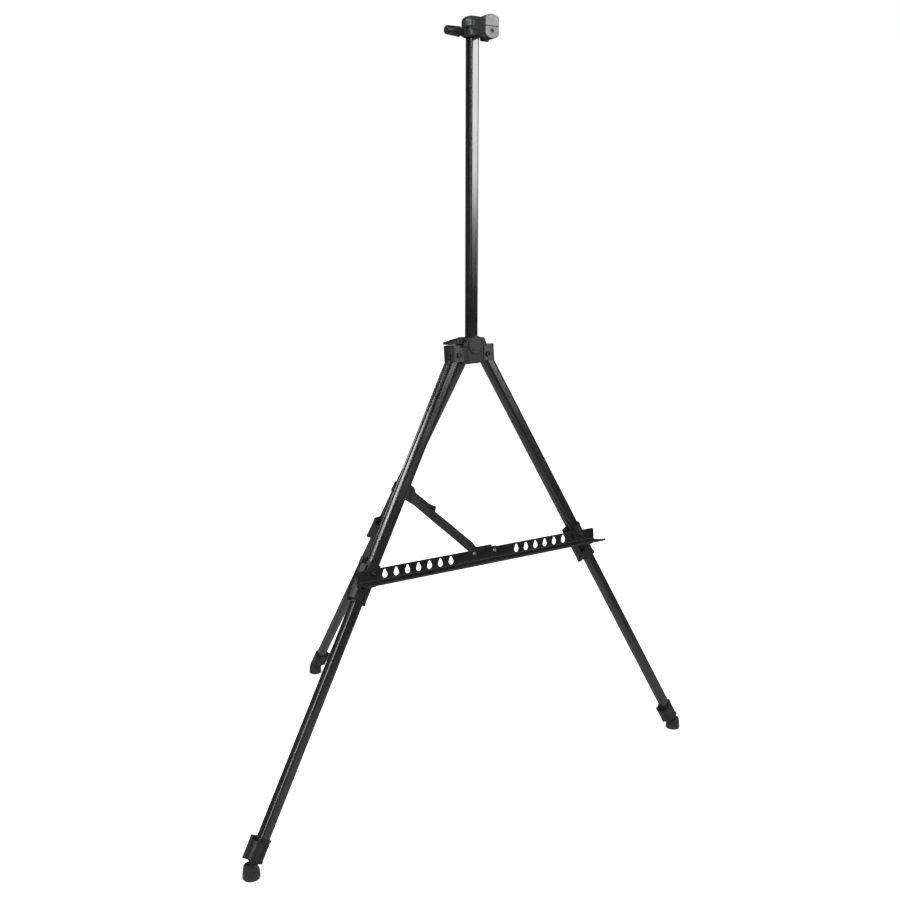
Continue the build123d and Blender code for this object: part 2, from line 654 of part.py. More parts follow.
def clamp_block():
    """Upper half of the front block, with an arched top."""
    seam, corner = 0.2, 12.4
    with BuildPart() as piece:
        with BuildSketch(block_back):
            with BuildLine():
                Line((-BLOCK_HALF, seam), (BLOCK_HALF, seam))
                Line((BLOCK_HALF, seam), (BLOCK_HALF, corner))
                ThreePointArc((BLOCK_HALF, corner), (0, 16.7), (-BLOCK_HALF, corner))
                Line((-BLOCK_HALF, corner), (-BLOCK_HALF, seam))
            make_face()
        extrude(amount=13.0)
        fillet(piece.faces().sort_by(Axis.Y)[0].edges().sort_by(Axis.Z)[1:], 1.0)
    return piece.part


def clamp_body():
    bodies = [clamp_cap(), clamp_sleeve(), clamp_arm(), clamp_block()]
    with BuildPart() as piece:
        for body in bodies:
            add(body)
        # rib along each side of the arm
        for x in (-11.2, 9.4):
            with BuildSketch(Plane(origin=(x, FRONT_Y - 13.0, SEAM_Z + 2.0),
                                   x_dir=(0, -1, 0), z_dir=(1, 0, 0))):
                with BuildLine():
                    Polyline((0, -3.0), (28.5, 1.6), (28.5, 4.2), (0, 0.2), (0, -3.0))
                make_face()
            extrude(amount=1.8)
        # the lower half is the separate jaw: clear its seat
        bar(block_back, 0, 20.0, (40, 30.4), (0, -15.0), mode=Mode.SUBTRACT)
        # boss for the thumb screw
        rod(knob_axis, BOSS_START, 6.6, 6.6)
        # mast passage, right through, then the thumb screw's bore
        bar(Plane.XY, SLEEVE_BOTTOM - 10, 80, grow(MAST, 0.1), MAST_CENTRE, mode=Mode.SUBTRACT)
        rod(knob_axis, 5.0, 25.0, STUD_R + 0.05, mode=Mode.SUBTRACT)
        # slot for the retaining tab, and the bore for the jaw screw
        bar(Plane.XY, 1163, 25.2, (RETAINER_W + 0.2, RETAINER_T + 0.2), (0, RETAINER_Y),
            mode=Mode.SUBTRACT)
        rod(screw_axis, 0, 32.0, JAW_SCREW_BORE_R, mode=Mode.SUBTRACT)
    return piece.part


def clamp_jaw():
    """Lower half of the front block, with a counterbored screw hole."""
    seam, corner = -0.2, -11.4
    with BuildPart() as piece:
        with BuildSketch(block_back.offset(0.2)):
            with BuildLine():
                Line((-BLOCK_HALF, seam), (BLOCK_HALF, seam))
                Line((BLOCK_HALF, seam), (BLOCK_HALF, corner))
                ThreePointArc((BLOCK_HALF, corner), (0, -17.3), (-BLOCK_HALF, corner))
                Line((-BLOCK_HALF, corner), (-BLOCK_HALF, seam))
            make_face()
        extrude(amount=12.8)
        fillet(piece.faces().sort_by(Axis.Y)[0].edges().sort_by(Axis.Z)[:-1], 1.0)
        rod(screw_axis, 0, 32.0, JAW_SCREW_BORE_R, mode=Mode.SUBTRACT)
        rod(screw_axis, 0, 7.6, 2.9, mode=Mode.SUBTRACT)
    return piece.part


def clamp_screw():
    """Jaw screw with a hexagon socket."""
    with BuildPart() as piece:
        rod(screw_axis, 6.6, 24.0, 1.6)
        rod(screw_axis, 6.4, 1.2, 2.8)
        with BuildSketch(screw_axis.offset(6.0)):
            RegularPolygon(1.5, 6)
        extrude(amount=1.3, mode=Mode.SUBTRACT)
    return piece.part


def clamp_retainer():
    """Retaining tab with a hole for the jaw screw."""
    drop = 3.2             # tab's middle below the screw
    with BuildPart() as piece:
        with BuildSketch(Plane(origin=(0, RETAINER_Y + RETAINER_T / 2, JAW_SCREW_Z - drop),
                               x_dir=(1, 0, 0), z_dir=(0, -1, 0))):
            RectangleRounded(RETAINER_W, 17.6, 2.0)
            with Locations((0, drop)):
                Circle(1.8, mode=Mode.SUBTRACT)
        extrude(amount=RETAINER_T)
    return piece.part


def clamp_knob():
    """Thumb screw knob: neck, flare and a fluted, tapering grip."""
    with BuildPart() as piece:
        rod(knob_axis, NECK_START, FLARE_START - NECK_START, KNOB_NECK_R)
        with BuildSketch(knob_axis.offset(FLARE_START)):
            Circle(KNOB_NECK_R)
        with BuildSketch(knob_axis.offset(GRIP_START)):
            Circle(GRIP_R)
        loft()
        rod(knob_axis, GRIP_START, 24.0, GRIP_R, taper=2.6)
        fillet(piece.faces().sort_by(Axis.X)[0].edges(), 1.6)
        with BuildSketch(knob_axis.offset(26.0)):
            with PolarLocations(7.7, 12):
                Circle(1.25)
        extrude(amount=30.0, mode=Mode.SUBTRACT)
        rod(knob_axis, 17.0, 17.0, STUD_R + 0.02, mode=Mode.SUBTRACT)
    return piece.part


def clamp_knob_stud():
    with BuildPart() as piece:
        rod(knob_axis, 8.3, 25.0, STUD_R)
    return piece.part


# ---------------------------------------------------------------- tray
TRAY_HALF = 233.0          # half the rail's length
LEDGE = 30.0
LEDGE_RISE = 11.0 - LEAN   # ledge above square to the plate
BRUSH_X0, BRUSH_PITCH, BRUSH_HOLES = 64.6, 20.0, 7     # on each side of the middle
TRAY_SCREW_X, TRAY_SCREW_Y = 204.0, -313.0
TRAY_SCREWS = ((-TRAY_SCREW_X, TRAY_SCREW_Y), (TRAY_SCREW_X, TRAY_SCREW_Y))
TRAY_RIVETS = ((-20.0, -312.5), (20.0, -312.5))
TRAY_SCREW_R, TRAY_RIVET_R = 2.0, 1.8


def tray_rail():
    """Bent sheet: an upright plate with brush holes, and a ledge with a rolled front edge."""
    thickness = TRAY_FRONT - TRAY_BACK
    rise = radians(LEDGE_RISE)
    tip_x, tip_y = TRAY_BACK + LEDGE * cos(rise), TRAY_FOLD - LEDGE * sin(rise)
    inside = TRAY_FOLD - thickness      # inside of the fold
    with BuildPart() as piece:
        with BuildSketch(tray_side(-TRAY_HALF)):
            with BuildLine():
                Polyline((TRAY_BACK, TRAY_FOLD), (TRAY_BACK, TRAY_TOP), (TRAY_FRONT, TRAY_TOP),
                         (TRAY_FRONT, inside - 2.2), (TRAY_FRONT + 0.7, inside - 0.9),
                         (TRAY_FRONT + 2.3, inside - 0.35),
                         (tip_x - thickness * sin(rise), tip_y - thickness * cos(rise)),
                         (tip_x, tip_y), (TRAY_BACK, TRAY_FOLD))
            make_face()
            with Locations((tip_x - 0.5, tip_y - 0.9)):
                Circle(1.9)
        extrude(amount=2 * TRAY_HALF)
        # round the top corners of the plate
        with BuildSketch(leaning):
            for side in (-1, 1):
                with Locations((side * (TRAY_HALF - 1.5), -TRAY_TOP - 1.5)):
                    Rectangle(3.2, 3.2)
                with Locations((side * (TRAY_HALF - 3.0), -TRAY_TOP - 3.0)):
                    Circle(3.0, mode=Mode.SUBTRACT)
        extrude(amount=20, mode=Mode.SUBTRACT)
        # brush holes: wide at the bottom, narrow at the top
        with BuildSketch(leaning.offset(5)):
            xs = [side * (BRUSH_X0 + BRUSH_PITCH * i)
                  for side in (-1, 1) for i in range(BRUSH_HOLES)]
            with Locations(*[(x, -317.7) for x in xs]):
                Circle(4.8)
            with Locations(*[(x, -311.8) for x in xs]):
                Circle(2.6)
            for x in xs:
                with BuildLine():
                    Polyline((x - 4.55, -316.2), (x - 2.5, -311.2), (x + 2.5, -311.2),
                             (x + 4.55, -316.2), (x - 4.55, -316.2))
                make_face()
        extrude(amount=20, mode=Mode.SUBTRACT)
        rod(leaning, 5, 20, TRAY_SCREW_R + 0.02, *TRAY_SCREWS, mode=Mode.SUBTRACT)
        rod(leaning, 5, 20, TRAY_RIVET_R + 0.02, *TRAY_RIVETS, mode=Mode.SUBTRACT)
    return piece.part


def tray_backing_plates():
    """Plate behind each end of the rail."""
    with BuildPart() as piece:
        with BuildSketch(leaning.offset(10.55)):
            with Locations((-211.0, -315.0), (211.0, -315.0)):
                RectangleRounded(34.0, 14.0, 2.5)
            with Locations(*TRAY_SCREWS):
                Circle(TRAY_SCREW_R + 0.02, mode=Mode.SUBTRACT)
        extrude(amount=1.0)
    return piece.part


def tray_screws():
    """Cross-slotted screws through the backing plates."""
    with BuildPart() as piece:
        for centre in TRAY_SCREWS:
            rod(leaning, 10.6, 2.8, TRAY_SCREW_R, centre)
            rod(leaning, 13.25, 1.9, 3.7, centre, taper=18)
            with BuildSketch(leaning.offset(14.2)):
                with Locations(centre):
                    Rectangle(4.2, 0.8)
                    Rectangle(0.8, 4.2)
            extrude(amount=2.0, mode=Mode.SUBTRACT)
    return piece.part


def tray_strap_plate():
    """Plate behind the middle of the rail, with an ear that the strap is riveted to."""
    thickness = 1.2
    with BuildPart() as piece:
        with BuildSketch(leaning.offset(10.35)):
            with Locations((0, -312.6)):
                RectangleRounded(50.0, 14.0, 2.5)
            with Locations((-3.5, -306.0)):
                RectangleRounded(40.0, 7.0, 2.5)
            with Locations(*TRAY_RIVETS):
                Circle(TRAY_RIVET_R + 0.02, mode=Mode.SUBTRACT)
        extrude(amount=thickness)
        bar(tray_side(-14.9), 0, thickness, (17.6, 14.0, 2.0), (2.7, 308.6))
    return piece.part


def tray_rivets():
    """Rivets through the strap plate, headed in front and behind."""
    with BuildPart() as piece:
        for centre in TRAY_RIVETS:
            rod(leaning, 9.9, 3.6, TRAY_RIVET_R, centre)
            rod(leaning, 13.25, 1.3, 3.3, centre, taper=30)
            rod(leaning, 9.3, 1.0, 2.6, centre)
    return piece.part


# ---------------------------------------------------------------- strap
STRAP_W, STRAP_T = 19.0, 1.6
STRAP_X = -13.5
STRAP_STATION = 300.5      # middle of the loop, down the rear leg
STRAP_TRAY_Y, STRAP_TRAY_Z = FRONT_Y - 33.2, 399.5     # end at the tray rail


def strap():
    """Flat run from the tray rail to a loop round the rear leg."""
    half = STRAP_W / 2
    loop = rear_leg.frame.from_local_coords(Vector(0, 0, STRAP_STATION))
    tray_y, tray_z = STRAP_TRAY_Y, STRAP_TRAY_Z
    leg_y, leg_z = loop.Y + 3.0, loop.Z - 1.0
    length = hypot(leg_y - tray_y, leg_z - tray_z)
    # half the width, square to the run
    across_y, across_z = half * (leg_z - tray_z) / length, -half * (leg_y - tray_y) / length
    with BuildPart() as piece:
        with BuildSketch(Plane(origin=(STRAP_X, 0, 0), x_dir=(0, 1, 0), z_dir=(1, 0, 0))):
            with BuildLine():
                Polyline((tray_y + across_y, tray_z + across_z),
                         (leg_y + across_y, leg_z + across_z),
                         (leg_y - across_y, leg_z - across_z),
                         (tray_y - across_y, tray_z - across_z),
                         (tray_y + across_y, tray_z + across_z))
            make_face()
        extrude(amount=STRAP_T)
        with BuildSketch(rear_leg.frame.offset(STRAP_STATION - half)):
            RectangleRounded(24.6, 22.0, 9.0)
            RectangleRounded(21.3, 18.8, 7.4, mode=Mode.SUBTRACT)
        extrude(amount=STRAP_W)
    return piece.part


# ---------------------------------------------------------------- build and save
os.makedirs("parts", exist_ok=True)

LEGS = {"front_left": front_leg(-1), "front_right": front_leg(1), "rear": rear_leg}
for leg_name, leg in LEGS.items():
    for piece_name, part in leg_parts(leg).items():
        save(part, f"{leg_name}_{piece_name}")

# each of these functions has the name of its piece
for build in (
    hub_housing, hub_cap, hub_pivot_screws, hub_rear_pin, mast_lock_pin, mast_lock_lever,
    mast_tube, mast_end_plugs,
    clamp_body, clamp_jaw, clamp_screw, clamp_retainer, clamp_knob, clamp_knob_stud,
    tray_rail, tray_backing_plates, tray_screws, tray_strap_plate, tray_rivets, strap,
):
    save(build(), build.__name__)
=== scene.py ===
# Looks for a three-legged stand: coats for its CAD pieces, a webbing strap from the tray to the
# rear leg, and a studio. Metres, +Z up, floor at z = 0, front legs towards -Y, rear leg near x = 0.
import json
import math
from functools import cached_property

import bmesh
import bpy
from mathutils import Matrix, Vector


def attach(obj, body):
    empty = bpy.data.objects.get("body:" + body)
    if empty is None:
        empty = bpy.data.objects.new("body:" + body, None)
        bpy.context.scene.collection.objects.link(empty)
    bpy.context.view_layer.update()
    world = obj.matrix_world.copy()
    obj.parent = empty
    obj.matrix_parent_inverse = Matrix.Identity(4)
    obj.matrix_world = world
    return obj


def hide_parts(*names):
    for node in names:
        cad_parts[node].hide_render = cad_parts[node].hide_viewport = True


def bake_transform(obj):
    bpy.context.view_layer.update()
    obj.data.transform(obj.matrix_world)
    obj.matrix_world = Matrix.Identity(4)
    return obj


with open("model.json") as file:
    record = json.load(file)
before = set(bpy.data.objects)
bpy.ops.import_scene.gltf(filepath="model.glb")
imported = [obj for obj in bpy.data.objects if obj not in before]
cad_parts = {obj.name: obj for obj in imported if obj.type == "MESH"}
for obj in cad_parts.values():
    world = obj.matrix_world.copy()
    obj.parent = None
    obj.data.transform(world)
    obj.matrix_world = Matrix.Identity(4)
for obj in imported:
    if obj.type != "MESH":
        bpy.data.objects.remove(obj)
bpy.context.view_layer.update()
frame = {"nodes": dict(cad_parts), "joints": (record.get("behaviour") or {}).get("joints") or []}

joints = {joint["name"]: joint for joint in frame["joints"]}
scene = bpy.context.scene

# ---------------------------------------------------------------- places taken from the joints
LEGS = ("front_left", "front_right", "rear")
PIVOT = {leg: Vector(joints[leg + "_fold"]["pos_m"]) for leg in LEGS}
FRONT_Y = PIVOT["front_left"].y
LEG_LINE = {leg: Vector(joints[leg + "_lower_slide"]["axis"]).normalized() for leg in LEGS}


def leg_axes(leg):
    """Two axes across the leg and one along it."""
    line = LEG_LINE[leg]
    if leg == "rear":
        side = Vector((1, 0, 0))
    else:
        side = Vector(joints[leg + "_fold"]["axis"]).cross(line).normalized()
    return side, line.cross(side).normalized(), line


# ---------------------------------------------------------------- node helpers
WORLD_AXES = ((1, 0, 0), (0, 1, 0), (0, 0, 1))


class Tree:
    """Builds one node material round a Principled surface."""

    def __init__(self, name):
        self.mat = bpy.data.materials.new(name)
        self.mat.use_nodes = True
        self.tree = self.mat.node_tree
        self.tree.nodes.clear()
        output = self.node("ShaderNodeOutputMaterial")
        self.surface = self.node("ShaderNodeBsdfPrincipled")
        self.put(output.inputs[0], self.surface.outputs[0])

    @cached_property
    def geometry(self):
        return self.node("ShaderNodeNewGeometry")

    @cached_property
    def coords(self):
        return self.node("ShaderNodeTexCoord").outputs["Object"]

    def node(self, kind, **props):
        node = self.tree.nodes.new(kind)
        for key, value in props.items():
            setattr(node, key, value)
        return node

    def put(self, socket, value):
        """Link an output to the socket, or set its value; colours get an alpha of 1."""
        if isinstance(value, bpy.types.NodeSocket):
            self.tree.links.new(value, socket)
        elif socket.type == "RGBA":
            socket.default_value = (*value, 1.0)
        else:
            socket.default_value = value

    def math(self, operation, a, b=0.0, clamp=False):
        node = self.node("ShaderNodeMath", operation=operation, use_clamp=clamp)
        self.put(node.inputs[0], a)
        self.put(node.inputs[1], b)
        return node.outputs[0]

    def multiply(self, a, by):
        return self.math("MULTIPLY", a, by)

    def add(self, a, b, clamp=False):
        return self.math("ADD", a, b, clamp)

    def dot(self, a, b):
        node = self.node("ShaderNodeVectorMath", operation="DOT_PRODUCT")
        self.put(node.inputs[0], a)
        self.put(node.inputs[1], b)
        return node.outputs["Value"]

    def along(self, axes):
        """Object coordinates measured along each axis."""
        return [self.dot(self.coords, axis) for axis in axes]

    def combine(self, *parts):
        node = self.node("ShaderNodeCombineXYZ")
        for socket, part in zip(node.inputs, parts):
            self.put(socket, part)
        return node.outputs[0]

    def stretch(self, parts, scales):
        return self.combine(*(self.multiply(part, by=k) for part, k in zip(parts, scales)))

    def noise(self, vector, scale, detail=3.0, rough=0.55):
        node = self.node("ShaderNodeTexNoise")
        self.put(node.inputs["Vector"], vector)
        node.inputs["Scale"].default_value = scale
        node.inputs["Detail"].default_value = detail
        node.inputs["Roughness"].default_value = rough
        return node.outputs["Fac"]

    def ramp(self, value, span, to=(0.0, 1.0)):
        """Map the span linearly onto another, held at its ends."""
        node = self.node("ShaderNodeMapRange")
        self.put(node.inputs["Value"], value)
        for key, number in zip(("From Min", "From Max", "To Min", "To Max"), (*span, *to)):
            node.inputs[key].default_value = number
        return node.outputs[0]

    def mix(self, factor, low, high):
        node = self.node("ShaderNodeMix", data_type="RGBA")
        # sockets 6 and 7 are the two colours of the mix
        for index, value in ((0, factor), (6, low), (7, high)):
            self.put(node.inputs[index], value)
        return node.outputs[2]

    def bump(self, height, strength, distance, normal=None):
        node = self.node("ShaderNodeBump")
        self.put(node.inputs["Height"], height)
        node.inputs["Strength"].default_value = strength
        node.inputs["Distance"].default_value = distance
        if normal is not None:
            self.put(node.inputs["Normal"], normal)
        return node.outputs[0]

    def edges(self, radius):
        """Softened normal, and a mask of the edges, where the finish rubs off first and where the
        plastics carry a painted highlight.
        """
        bevel = self.node("ShaderNodeBevel", samples=6)
        bevel.inputs["Radius"].default_value = radius
        facing = self.dot(bevel.outputs[0], self.geometry.outputs["Normal"])
        return bevel.outputs[0], self.ramp(facing, span=(0.985, 0.80))

    def patchy(self, mask, span, **noise):
        """The mask broken up by noise."""
        return self.multiply(mask, by=self.ramp(self.noise(self.coords, **noise), span))

    def finish(self, **inputs):
        """Set inputs of the surface, underscores standing for spaces."""
        for key, value in inputs.items():
            self.put(self.surface.inputs[key.replace("_", " ")], value)
        return self.mat


def scaled(colour, factor):
    return tuple(c * factor for c in colour)


# ---------------------------------------------------------------- materials
def tube_material(name, axes, rough=0.22):
    """Black coat on drawn tube: lengthwise lines, orange peel, rubbed ridges, scuffs."""
    black = (0.0055, 0.0057, 0.0062)
    t = Tree(name)
    place = t.along(axes)
    lines = t.noise(t.stretch(place, scales=(2600.0, 2600.0, 9.0)), scale=1.0, detail=2.0)
    peel = t.noise(t.coords, scale=900.0)
    cloud = t.noise(t.coords, scale=14.0)
    scuff = t.noise(t.stretch(place, scales=(500.0, 500.0, 3500.0)),
                    scale=1.0, detail=5.0, rough=0.7)
    rings = t.ramp(scuff, span=(0.66, 0.74))
    soft, edge = t.edges(radius=0.0006)
    rubbed = t.patchy(edge, span=(0.45, 0.72), scale=260.0, detail=4.0, rough=0.65)
    base = t.mix(t.ramp(cloud, span=(0.35, 0.7)), low=black, high=scaled(black, 1.6))
    base = t.mix(t.multiply(rubbed, by=0.5), low=base, high=(0.07, 0.07, 0.074))
    dullness = t.ramp(cloud, span=(0.3, 0.75), to=(rough - 0.03, rough + 0.05))
    dullness = t.add(dullness, t.multiply(rings, by=0.12), clamp=True)
    dullness = t.add(dullness, t.ramp(lines, span=(0.3, 0.7), to=(-0.03, 0.04)), clamp=True)
    height = t.add(t.multiply(lines, by=0.5), t.multiply(peel, by=0.6))
    return t.finish(Base_Color=base, Roughness=dullness, Specular_IOR_Level=0.62, Metallic=0.0,
                    Coat_Weight=0.18, Coat_Roughness=0.16,
                    Normal=t.bump(height, strength=0.10, distance=0.00035, normal=soft))


def steel_material(name):
    """Black coat on sheet steel: slightly pebbled, rubbed through along its edges."""
    t = Tree(name)
    pebble = t.noise(t.coords, scale=1500.0, detail=2.0)
    cloud = t.noise(t.coords, scale=22.0)
    soft, edge = t.edges(radius=0.0007)
    rubbed = t.patchy(edge, span=(0.42, 0.62), scale=320.0, detail=4.0, rough=0.7)
    base = t.mix(t.ramp(cloud, span=(0.35, 0.7)),
                 low=(0.0045, 0.0046, 0.0050), high=(0.0080, 0.0082, 0.0088))
    base = t.mix(t.multiply(rubbed, by=0.7), low=base, high=(0.09, 0.09, 0.094))
    streaks = t.noise(t.stretch(t.along(WORLD_AXES), scales=(60.0, 1800.0, 2200.0)),
                      scale=1.0, detail=4.0, rough=0.7)
    scratch = t.ramp(streaks, span=(0.64, 0.72))
    dullness = t.add(t.ramp(cloud, span=(0.3, 0.7), to=(0.30, 0.40)),
                     t.multiply(scratch, by=0.12), clamp=True)
    return t.finish(Base_Color=base, Roughness=dullness, Specular_IOR_Level=0.20, Metallic=0.0,
                    Normal=t.bump(pebble, strength=0.16, distance=0.0004, normal=soft))


def plastic_material(name, colour=(0.0072, 0.0074, 0.0080), rough=0.42, grain=1900.0,
                     grain_strength=0.22, spec=0.38):
    """Moulded nylon: eroded mould texture, faint flow marks, polished edges, lighter partly from
    wear and partly as a painted highlight.
    """
    t = Tree(name)
    cells = t.node("ShaderNodeTexVoronoi", feature="SMOOTH_F1")
    t.put(cells.inputs["Vector"], t.coords)
    cells.inputs["Scale"].default_value = grain
    fine = t.noise(t.coords, scale=grain * 1.6, detail=2.0)
    flow = t.noise(t.coords, scale=55.0, detail=5.0, rough=0.6)
    soft, edge = t.edges(radius=0.0009)
    base = t.mix(t.ramp(flow, span=(0.3, 0.75)), low=colour, high=scaled(colour, 1.55))
    # edges up to seven times lighter than the colour: partly rubbed wear, partly a painted
    # highlight along the edges
    rubbed = t.patchy(edge, span=(0.35, 0.7), scale=240.0)
    base = t.mix(t.multiply(rubbed, by=0.35), low=base, high=scaled(colour, 7.0))
    dullness = t.ramp(flow, span=(0.3, 0.75), to=(rough - 0.05, rough + 0.07))
    dullness = t.math("SUBTRACT", dullness, t.multiply(rubbed, by=0.16), clamp=True)
    height = t.add(t.multiply(cells.outputs["Distance"], by=0.7), t.multiply(fine, by=0.5))
    return t.finish(Base_Color=base, Roughness=dullness, Specular_IOR_Level=spec,
                    Normal=t.bump(height, grain_strength, distance=0.0003, normal=soft))


def rubber_material(name):
    """Dull rubber, dusty near the object's zero height."""
    t = Tree(name)
    fine = t.noise(t.coords, scale=1300.0, detail=4.0, rough=0.7)
    cloud = t.noise(t.coords, scale=70.0, detail=4.0)
    low_down = t.ramp(t.dot(t.coords, (0, 0, 1)), span=(0.012, 0.0))
    dust = t.patchy(low_down, span=(0.42, 0.7), scale=420.0, detail=4.0)
    dust = t.math("MAXIMUM", dust, 0.0, clamp=True)
    soft, _ = t.edges(radius=0.0009)
    base = t.mix(t.ramp(cloud, span=(0.3, 0.7)),
                 low=(0.0060, 0.0060, 0.0064), high=(0.0110, 0.0110, 0.0114))
    base = t.mix(t.multiply(dust, by=0.35), low=base, high=(0.075, 0.072, 0.068))
    return t.finish(Base_Color=base, Roughness=t.ramp(cloud, span=(0.3, 0.7), to=(0.50, 0.64)),
                    Specular_IOR_Level=0.32, Sheen_Weight=0.10, Sheen_Roughness=0.4,
                    Normal=t.bump(fine, strength=0.25, distance=0.0004, normal=soft))


def pin_material(name, low=(0.030, 0.031, 0.034), high=(0.065, 0.066, 0.070),
                 rubbed=(0.22, 0.22, 0.23)):
    """Cloudy steel, bright where its edges are rubbed."""
    t = Tree(name)
    fine = t.noise(t.coords, scale=2400.0)
    cloud = t.noise(t.coords, scale=180.0, detail=4.0, rough=0.7)
    soft, edge = t.edges(radius=0.0004)
    base = t.mix(t.ramp(cloud, span=(0.4, 0.65)), low, high)
    base = t.mix(t.multiply(edge, by=0.7), low=base, high=rubbed)
    return t.finish(Base_Color=base, Metallic=0.85,
                    Roughness=t.ramp(cloud, span=(0.3, 0.7), to=(0.26, 0.40)),
                    Normal=t.bump(fine, strength=0.12, distance=0.0002, normal=soft))


def webbing_material(name):
    """Plain-woven webbing. The UV map holds millimetres: u along the strap, v across it."""
    warp_pitch, weft_pitch = 1.25, 1.5
    t = Tree(name)
    split = t.node("ShaderNodeSeparateXYZ")
    t.put(split.inputs[0], t.node("ShaderNodeUVMap", uv_map="mm").outputs[0])
    u, v = split.outputs[0], split.outputs[1]

    def wave(phase):
        return t.math("ABSOLUTE", t.math("SINE", t.multiply(phase, by=math.pi)))

    # ribs across the strap, shifted half a pitch from one warp column to the next
    column = t.math("FLOOR", t.math("DIVIDE", v, warp_pitch))
    shift = t.multiply(t.math("MODULO", column, 2.0), by=0.5)
    weft = wave(t.add(t.math("DIVIDE", u, weft_pitch), shift))
    warp = wave(t.math("DIVIDE", v, warp_pitch))
    weave = t.multiply(t.math("POWER", warp, 0.6), by=t.math("POWER", weft, 0.5))
    fibre = t.noise(t.combine(t.multiply(u, by=0.9), t.multiply(v, by=7.0), 0.0),
                    scale=1.0, rough=0.7)
    height = t.add(weave, t.multiply(fibre, by=0.25))
    # painted shade: the colour follows the weave's height, darker in its hollows and lighter on its
    # crests
    base = t.mix(t.ramp(weave, span=(0.1, 0.9)),
                 low=(0.0016, 0.0016, 0.0018), high=(0.0065, 0.0066, 0.0071))
    fuzz = t.ramp(t.noise(t.coords, scale=600.0, detail=4.0, rough=0.75), span=(0.55, 0.8))
    base = t.mix(t.multiply(fuzz, by=0.4), low=base, high=(0.016, 0.016, 0.017))
    return t.finish(Base_Color=base, Roughness=t.ramp(fibre, span=(0.3, 0.7), to=(0.55, 0.75)),
                    Specular_IOR_Level=0.28, Sheen_Weight=0.08, Sheen_Roughness=0.35,
                    Normal=t.bump(height, strength=0.75, distance=0.0004))


def thread_material(name):
    t = Tree(name)
    twist = t.noise(t.coords, scale=2600.0, detail=2.0)
    base = t.mix(t.ramp(twist, span=(0.35, 0.7)),
                 low=(0.012, 0.012, 0.013), high=(0.05, 0.05, 0.053))
    return t.finish(Base_Color=base, Roughness=0.6, Sheen_Weight=0.3,
                    Normal=t.bump(twist, strength=0.6, distance=0.0003))


MAT = {leg: tube_material("coat_" + leg, leg_axes(leg)) for leg in LEGS}
MAT["mast"] = tube_material("coat_mast", WORLD_AXES, rough=0.15)
MAT["steel"] = steel_material("coat_sheet_steel")
MAT["plastic"] = plastic_material("moulded_nylon")
MAT["lock"] = plastic_material("moulded_lock_nylon", colour=(0.0055, 0.0056, 0.0061),
                               rough=0.36, spec=0.26)
MAT["lever"] = plastic_material("moulded_lever", colour=(0.0062, 0.0063, 0.0069),
                                rough=0.32, grain=2300.0, spec=0.30)
MAT["clamp"] = plastic_material("moulded_clamp", colour=(0.0130, 0.0133, 0.0143), rough=0.30,
                                grain=1500.0, grain_strength=0.16, spec=0.5)
MAT["cap"] = plastic_material("moulded_cap", colour=(0.0120, 0.0123, 0.0135))
MAT["knob"] = plastic_material("moulded_knob", colour=(0.0075, 0.0075, 0.0082),
                               rough=0.33, grain=2300.0)
MAT["rubber"] = rubber_material("moulded_rubber")
MAT["pin"] = pin_material("black_oxide_steel")
MAT["black_pin"] = pin_material("blackened_pivot_steel", low=(0.010, 0.010, 0.011),
                                high=(0.022, 0.022, 0.024), rubbed=(0.07, 0.07, 0.074))
MAT["rivet"] = pin_material("bright_rivet_steel", low=(0.20, 0.20, 0.205),
                            high=(0.36, 0.36, 0.37), rubbed=(0.60, 0.60, 0.61))
MAT["webbing"] = webbing_material("woven_webbing")
MAT["thread"] = thread_material("sewing_thread")

# material keys: leg parts by name, then by ending; other pieces by name
LEG_PARTS = {"foot_pad": "rubber", "ankle_plug": "lock"}
LEG_ENDINGS = {"pin": "pin", "lever": "lever", "collar": "lock"}
PIECES = {
    "mast_tube": "mast", "mast_lock_lever": "lever", "mast_lock_pin": "black_pin",
    "hub_cap": "cap", "hub_pivot_screws": "black_pin", "hub_rear_pin": "black_pin",
    "clamp_body": "clamp", "clamp_jaw": "clamp", "clamp_knob": "knob",
    "clamp_screw": "black_pin", "clamp_knob_stud": "pin", "clamp_retainer": "steel",
    "tray_rivets": "rivet", "tray_screws": "pin",
}


def material_for(name):
    for leg in LEGS:
        if name.startswith(leg + "_"):
            part = name[len(leg) + 1:]
            if part.endswith("tube"):
                return MAT[leg]
            by_ending = (key for end, key in LEG_ENDINGS.items() if part.endswith(end))
            return MAT[LEG_PARTS.get(part) or next(by_ending, "plastic")]
    return MAT[PIECES.get(name, "steel" if name.startswith("tray_") else "plastic")]


for name, piece in frame["nodes"].items():
    material = material_for(name)
    if not piece.material_slots:
        piece.data.materials.append(material)
    for slot in piece.material_slots:
        slot.material = material


# ---------------------------------------------------------------- the stay strap
# Strap places are (x, t, rise): t runs from the tray to the rear leg, rise is across the strap.
STRAP_WIDTH, STRAP_THICK = 0.0195, 0.0015
SELVEDGE = 0.0011                       # width of each rounded selvedge
SAG = 0.0022
TRAY_END = Vector((-0.0160, FRONT_Y - 0.0350, 0.4050))
LEG_CENTRE = PIVOT["rear"] + LEG_LINE["rear"] * 0.3045
RUN_DIR = Vector((0, LEG_CENTRE.y - TRAY_END.y, LEG_CENTRE.z - TRAY_END.z))
RUN = RUN_DIR.length
RUN_DIR.normalize()
ACROSS = Vector((0, -RUN_DIR.z, RUN_DIR.y))
# the leg crosses the strap at a slant
SHEAR = LEG_LINE["rear"].dot(RUN_DIR) / LEG_LINE["rear"].dot(ACROSS)
SLANT_START, SLANT_LENGTH = RUN - 0.055, 0.036

TRAY_X = TRAY_END.x
SPLIT_X, SPLIT = TRAY_X + 0.0014, 0.052     # where the two pieces of webbing meet
JOIN = RUN - 0.060                          # where the returning end lies on the strap
CLEARANCE = 0.0012                          # from the leg's face to the webbing's middle
LOOP_X, LOOP_T = 0.01025 + CLEARANCE, 0.0098 + CLEARANCE   # half size of the loop
LOOP_END = RUN + LOOP_T

